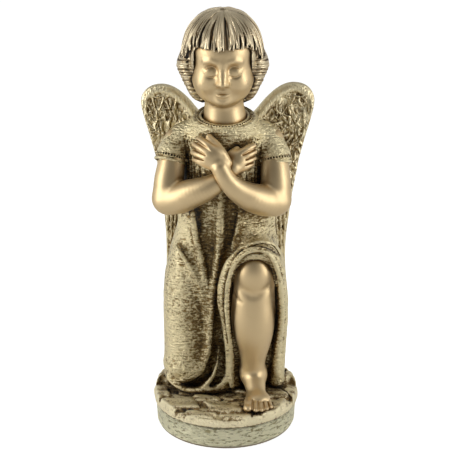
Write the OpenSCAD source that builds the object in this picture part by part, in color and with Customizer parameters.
// Kneeling angel statuette: hollow resin castings glued together on steel dowels, standing on an oval plinth.
// Units are millimetres. Z is up, the figure faces -Y, and the origin is the centre of the plinth's underside.

/* [Statuette] */
// Height from the felt to the crown of the hair
figure_h = 369; // [250:1:450]
// Wall thickness of the hollow castings
wall = 7; // [5:0.5:9]
/* [Plinth] */
// Width of the rock slab on top of the plinth
base_w = 129; // [127:1:136]
// Depth of the rock slab, front to back
base_d = 151; // [149:1:160]
// Height of the drum under the rock slab
drum_h = 18; // [14:1:18]
// How far the drum steps in under the slab
drum_step = 2; // [1:0.5:4]
// Thickness of the felt sheet under the plinth
felt_t = 1.5; // [1:0.5:3]
/* [Joints] */
// Diameter of the steel dowels that key the castings together
dowel_d = 5; // [3:0.5:6]
// Glue gap around a dowel and around a socketed casting
glue_gap = 0.15; // [0.1:0.05:0.3]
/* [Wings] */
// Thickness of a wing's web
wing_t = 8; // [6:0.5:10]
// Number of long flight feathers on each wing
flight_feathers = 7; // [5:1:9]
/* [Hidden] */
design_h = 369;                     // the height at which the figure's points below are given
k = figure_h / design_h;            // everything scales with the figure
slab_z = felt_t + drum_h;           // underside of the rock slab
rock_z = 27;                        // the level that the hem and the feet stand on
drum_w = base_w - 2 * drum_step;
drum_d = base_d - 2 * drum_step;
plate_t = 3;
felt_inset = 2;                     // the felt stops this far inside the drum's edge
smooth = 16;                        // facets round a limb
fine = 10;                          // facets round a finger, a toe or a feather

// ---- the figure's joints, as [x, y, z]; its right side is -X ----
crown = [-2.5, 4, 334];
chin = [-2.5, -18, 302];
neck_top = [-1.5, 0, 300];
neck_foot = [-0.5, 2, 262];
right_shoulder = [-37, 5, 251];
left_shoulder = [37, 5, 251];
right_elbow = [-47.5, -12, 208];
left_elbow = [43, -14, 208];
right_wrist = [-8, -32, 226];
left_wrist = [-1.5, -42, 235];
right_palm = [4, -29, 240];
left_palm = [-11, -38, 248];
left_knee = [24.5, -27, 141];
left_ankle = [23.5, -19, 55];
waist_z = 184;

// Tables of the robe's cross-sections: [centre x, centre y, z, half width, half depth].
skirt_rings = [[0, 27, rock_z, 53, 36], [0, 26, 40, 53, 35], [0, 24, 70, 53, 33], [0, 21, 100, 53, 32],
               [0, 18, 125, 53, 31], [0, 14, 145, 51, 31], [0, 11, 165, 48, 30], [0, 9, waist_z, 45, 29]];
bodice_rings = [[0, 9, waist_z, 45, 29], [-1, 8, 205, 41, 28], [-1, 7, 225, 38, 28], [-1, 6, 242, 39, 28],
                [-1, 6, 256, 39, 27], [-1, 5, 266, 34, 25], [-1, 4, 274, 28, 22], [-1, 4, 279, 26, 21]];

// ---- shapes that repeat ----
module ball(at, r, fn = smooth) translate(at) sphere(r = r, $fn = fn);
// A limb is a chain of hulled balls; joints is a list of [[x, y, z], radius].
module limb(joints, fn = smooth)
    for (i = [1 : len(joints) - 1]) hull() {
        ball(joints[i - 1][0], joints[i - 1][1], fn);
        ball(joints[i][0], joints[i][1], fn);
    }
function oval_points(w, d, n = 72) = [for (i = [0 : n - 1]) [w / 2 * cos(360 * i / n), d / 2 * sin(360 * i / n)]];
module oval_plate(w, d, t) linear_extrude(t) polygon(oval_points(w, d));
// One cross-section of cloth: an ellipse with folds round it.
function cloth_ring(s, folds, depth, n) = [for (i = [0 : n - 1]) let (a = 360 * i / n, f = 1 + depth * cos(folds * a))
    [s[0] + s[3] * f * cos(a), s[1] + s[4] * f * sin(a), s[2]]];
// A closed skin over a list of rings that all have n points.
module loft(rings, n) {
    points = [for (r = rings) for (p = r) p];
    last = len(rings) - 1;
    sides = [for (j = [0 : last - 1]) for (i = [0 : n - 1]) let (a = j * n + i, b = j * n + (i + 1) % n)
        each [[a, a + n, b], [b, a + n, b + n]]];
    polyhedron(points, concat([[for (i = [0 : n - 1]) i]], sides, [[for (i = [n - 1 : -1 : 0]) last * n + i]]));
}
module cloth(table, folds = 9, depth = 0.02, n = 36) loft([for (s = table) cloth_ring(s, folds, depth, n)], n);
// The hollow inside a cloth casting: the same table taken in by the wall.
module hollow(table) loft([for (s = table) cloth_ring([s[0], s[1], s[2], s[3] - wall, s[4] - wall], 0, 0, 20)], 20);
module dowel(from, to, gap = 0) {
    v = to - from;
    translate(from) rotate([0, acos(v[2] / norm(v)), atan2(v[1], v[0])]) cylinder(d = dowel_d + 2 * gap, h = norm(v), $fn = 24);
}

// ---- dowels: each is a list of end points ----
neck_pins = [[[-1, 2, 237], [-1, 2, 276]]];
waist_pins = [for (x = [-30, 30]) [[x, 16, waist_z - 12], [x, 16, waist_z + 12]]];
arm_pins = [[[-34, 4, 252], [-44, -1, 236]], [[34, 4, 252], [43, -1, 236]]];
wing_pins = [for (x = [-14, 14], z = [228, 252]) [[x, 28, z], [x, 41, z]]];
leg_pins = [[[24, -14, 22], [24, -14, 40]], [[24, -2, 142], [24.5, -34, 140]], [[-14, 60, 22], [-14, 60, 36]]];
module pins(list, gap = 0) for (p = list) dowel(p[0], p[1], gap);

// ---- plain shapes of the castings, before their sockets are cut ----
module head_form() {
    hull() {
        ball(crown, 34.5, 24);
        ball(crown + [-7, 0, -13], 31, 20);
        ball(crown + [8, 0, -13], 31, 20);
    }
    for (side = [-1, 1]) hull() {
        ball(crown + [side * 21, 6, -14], 17);
        ball(crown + [side * 17, 6, -36], 11);
    }
    hull() {
        ball(crown + [0, 12, -14], 26);
        ball(crown + [0, 10, -34], 16);
    }
    hull() {
        ball(crown + [0, -11, -14], 23, 20);
        ball(chin, 10);
    }
    hull() {
        ball(crown + [0, -31, -14], 2, fine);
        ball(crown + [0, -35, -24], 2.8, fine);
    }
    limb([[neck_top, 16.5], [[-1, 1, 280], 16.5], [neck_foot, 17.5]]);
}
// A hand: a palm, and fingers that fan from their knuckles to their tips.
module hand(wrist, palm, knuckles, tips, thumb) {
    limb([[wrist, 8.5], [palm, 8]], fine);
    for (i = [0 : 3]) hull() {
        ball(palm, 6.5, fine);
        ball(knuckles[0] + (knuckles[1] - knuckles[0]) * i / 3, 3.4, fine);
        ball(tips[0] + (tips[1] - tips[0]) * i / 3, 2.4, fine);
    }
    limb([[palm, 5], [thumb, 2.8]], fine);
}
module right_arm_form() {
    limb([[right_shoulder + [-4, -3, -9], 11], [right_elbow, 12.5], [[-27, -27, 216], 11.5], [right_wrist, 8.5]]);
    hand(right_wrist, right_palm, [[11, -27, 251], [11, -28, 238]], [[22, -22, 256], [22, -23, 240]], [-2, -30, 254]);
}
module left_arm_form() {
    limb([[left_shoulder + [3, -3, -9], 11], [left_elbow, 12.5], [[22, -32, 217], 11.5], [left_wrist, 8.5]]);
    hand(left_wrist, left_palm, [[-11, -33, 258], [-20, -33, 248]], [[-18, -25, 267], [-27, -25, 250]], [-5, -36, 258]);
}
module left_leg_form() {
    limb([[left_knee, 18.5], [[25, -25, 114], 18.5], [[24, -22, 85], 14], [left_ankle, 10.5]]);
    hull() {
        ball(left_ankle, 10.5);
        ball([24, -14, rock_z + 9], 9);
        ball([26, -36, rock_z + 9], 8.5);
    }
    hull() {
        ball([26, -36, rock_z + 9], 8.5);
        ball([19, -49, rock_z + 5], 5);
        ball([37, -45, rock_z + 4], 4);
    }
    for (i = [0 : 4]) hull() {
        ball([19 + 4.8 * i, -48 + 1.5 * i, rock_z + 4.5], 4 - 0.3 * i, fine);
        ball([18 + 5.7 * i, -59 + 2 * i, rock_z + 3.2], 3.6 - 0.35 * i, fine);
    }
}
module right_foot_form() {
    hull() {
        ball([-14, 46, rock_z + 14], 10);
        ball([-14, 57, rock_z + 20], 9);
        ball([-14, 62, rock_z + 6], 6);
    }
    for (i = [0 : 4]) hull() {
        ball([-22 + 4.2 * i, 60, rock_z + 5], 3.2, fine);
        ball([-23 + 4.4 * i, 66 - abs(i - 3), rock_z + 3], 2.8, fine);
    }
}
module skirt_form() {
    cloth(skirt_rings);
    hull() {                                     // cloth over the kneeling knee
        ball([-31, 12, 120], 20);
        ball([-33, 14, rock_z + 22], 21);
    }
    hull() {                                     // cloth over the raised thigh
        ball([15, 10, 148], 27, 20);
        ball([25, -16, 148], 25.5, 20);
    }
    limb([[[2, -26, 146], 6], [[0, -24, 110], 5.5], [[4, -16, 70], 5], [[4, -10, rock_z + 6], 6]]);
    limb([[[47, -24, 130], 5.5], [[48, -16, 100], 5.5], [[46, -4, 60], 6], [[46, 6, rock_z + 7], 7]]);
    limb([[[-5, -18, 170], 5], [[-10, -14, 122], 6], [[-15, -8, 70], 6], [[-26, -7, rock_z + 6], 6]]);
}
module bodice_form() {
    cloth(bodice_rings);
    for (s = [right_shoulder, left_shoulder]) let (side = sign(s[0])) hull() {
        ball([side * 26, 6, 255], 14);
        ball(s, 15);
        ball(s + [side * 4, -4, -6], 13.5);
    }
    limb([for (a = [-90 : -22.5 : -270]) [[-1 + 25 * cos(a), 4 + 21 * sin(a), 273 + 3 * sin(a)], 3]], fine);
    limb([for (a = [-90 : 22.5 : 90]) [[-1 + 25 * cos(a), 4 + 21 * sin(a), 273 + 3 * sin(a)], 3]], fine);
}
// A wing for side -1 or 1: a web, a rounded leading edge, covert feathers in rows and long flight feathers.
wing_y = 40;
wing_top = [54, wing_y, 291];
wing_outer = [68, wing_y, 283];
wing_tip = [50, wing_y + 3, 76];
module wing_form(side) mirror([side < 0 ? 1 : 0, 0, 0]) {
    hull() {
        for (p = [[10, wing_y, 250], [30, wing_y, 266], [52, wing_y, 288], [70, wing_y, 280], [62, wing_y, 236]])
            ball(p, wing_t / 2, fine);
        ball([50, wing_y + 2, 180], wing_t / 2, fine);
        ball([12, wing_y + 2, 190], wing_t / 2, fine);
    }
    hull() {
        for (p = [[50, wing_y + 2, 180], [12, wing_y + 2, 190], [22, wing_y + 2, 130]]) ball(p, wing_t / 2, fine);
        ball(wing_tip + [-8, 0, 10], wing_t / 2, fine);
        ball(wing_tip, 3, fine);
    }
    limb([[[8, wing_y - 2, 248], 6], [[30, wing_y - 1, 268], 7.5], [wing_top, 8.5], [wing_outer, 8.5], [[68, wing_y, 262], 6]], 12);
    for (i = [0 : flight_feathers - 1]) let (t = i / (flight_feathers - 1)) hull() {
        ball([16 + 36 * t, wing_y + 4, 200], 4, 8);
        ball([24 + 24 * t, wing_y + 6, 118 - 38 * t], 2.5, 8);
    }
    for (row = [0 : 2], i = [0 : 4]) let (z = 258 - 22 * row, w = 15 + (52 - 5 * row) * i / 4) hull() {
        ball([w, wing_y + 3, z - 1 + i * 3.5], 4, 8);
        ball([w - 1, wing_y + 5, z - 18 + i * 2], 2.5, 8);
    }
}

// ---- the nodes ----
module plinth_drum() color("darkkhaki") difference() {
    translate([0, 0, felt_t]) oval_plate(drum_w, drum_d, drum_h);
    translate([0, 0, felt_t - 1]) oval_plate(drum_w - 2 * wall, drum_d - 2 * wall, drum_h + 2);
}
module closing_plate() color("dimgray")
    translate([0, 0, felt_t]) oval_plate(drum_w - 2 * wall - 2 * glue_gap, drum_d - 2 * wall - 2 * glue_gap, plate_t);
module felt_sheet() color("tan") oval_plate(drum_w - 2 * felt_inset, drum_d - 2 * felt_inset, felt_t);
// The slab's rounded edge is three stacked ovals, and its flagstones are low polygons.
module rock_slab() color("tan") difference() {
    union() {
        loft([for (s = [[0, slab_z], [0, slab_z + 3], [2, slab_z + 5.5], [6, rock_z]])
            [for (p = oval_points(base_w - 2 * s[0], base_d - 2 * s[0], 48)) [p[0], p[1], s[1]]]], 48);
        for (stone = [[-40, -38, 12, 9, 20], [-8, -48, 22, 8, -5], [-22, -26, 12, 6, 10], [4, -26, 12, 6, 30],
                      [-51, -10, 7, 12, 0], [49, -22, 8, 12, -20], [44, 34, 9, 12, 30], [-46, 30, 8, 13, -25]])
            translate([stone[0], stone[1], rock_z - 1]) rotate(stone[4])
                linear_extrude(3) polygon([for (a = [10 : 50 : 359]) [stone[2] * cos(a), stone[3] * sin(a)]]);
    }
    pins(leg_pins, glue_gap);
}
module robe_skirt() color("goldenrod") difference() {
    skirt_form();
    hollow([[0, 27, rock_z - 1, 50, 32], [0, 24, 70, 50, 29], [0, 18, 120, 48, 28], [0, 12, 160, 42, 26], [0, 10, 172, 36, 22]]);
    left_leg_form();
    right_foot_form();
    right_arm_form();
    left_arm_form();
    pins(waist_pins, glue_gap);
    pins(leg_pins, glue_gap);
    translate([-100, -100, waist_z]) cube([200, 200, 60]);
    translate([-100, -100, rock_z - 20]) cube([200, 200, 20]);
}
module robe_bodice() color("darkgoldenrod") difference() {
    bodice_form();
    hollow([[0, 9, waist_z + 8, 38, 28], [-1, 8, 210, 37, 28], [-1, 7, 236, 36, 27]]);
    head_form();
    right_arm_form();
    left_arm_form();
    wing_form(-1);
    wing_form(1);
    pins(concat(neck_pins, waist_pins, arm_pins, wing_pins), glue_gap);
}
module head() color("gold") difference() {
    head_form();
    pins(neck_pins, glue_gap);
}
module right_arm() color("khaki") difference() {
    right_arm_form();
    left_arm_form();
    pins(arm_pins, glue_gap);
}
module left_arm() color("khaki") difference() {
    left_arm_form();
    pins(arm_pins, glue_gap);
}
module left_leg() color("khaki") difference() {
    left_leg_form();
    pins(leg_pins, glue_gap);
    translate([-100, -100, rock_z - 20]) cube([200, 200, 20]);
}
module right_foot() color("khaki") difference() {
    right_foot_form();
    pins(leg_pins, glue_gap);
    translate([-100, -100, rock_z - 20]) cube([200, 200, 20]);
}
module wing(side) color("palegoldenrod") difference() {
    wing_form(side);
    mirror([side < 0 ? 0 : 1, 0, 0]) translate([glue_gap, -100, 0]) cube([100, 300, 400]);
    pins(wing_pins, glue_gap);
}
module dowel_group(list) color("silver") pins(list);

scale(k) plinth_drum();
scale(k) closing_plate();
scale(k) felt_sheet();
scale(k) rock_slab();
scale(k) robe_skirt();
scale(k) robe_bodice();
scale(k) head();
scale(k) right_arm();
scale(k) left_arm();
scale(k) left_leg();
scale(k) right_foot();
scale(k) wing(-1);  // right_wing
scale(k) wing(1);  // left_wing
scale(k) dowel_group(neck_pins);  // neck_dowel
scale(k) dowel_group(waist_pins);  // waist_dowels
scale(k) dowel_group(arm_pins);  // arm_dowels
scale(k) dowel_group(wing_pins);  // wing_dowels
scale(k) dowel_group(leg_pins);  // leg_dowels
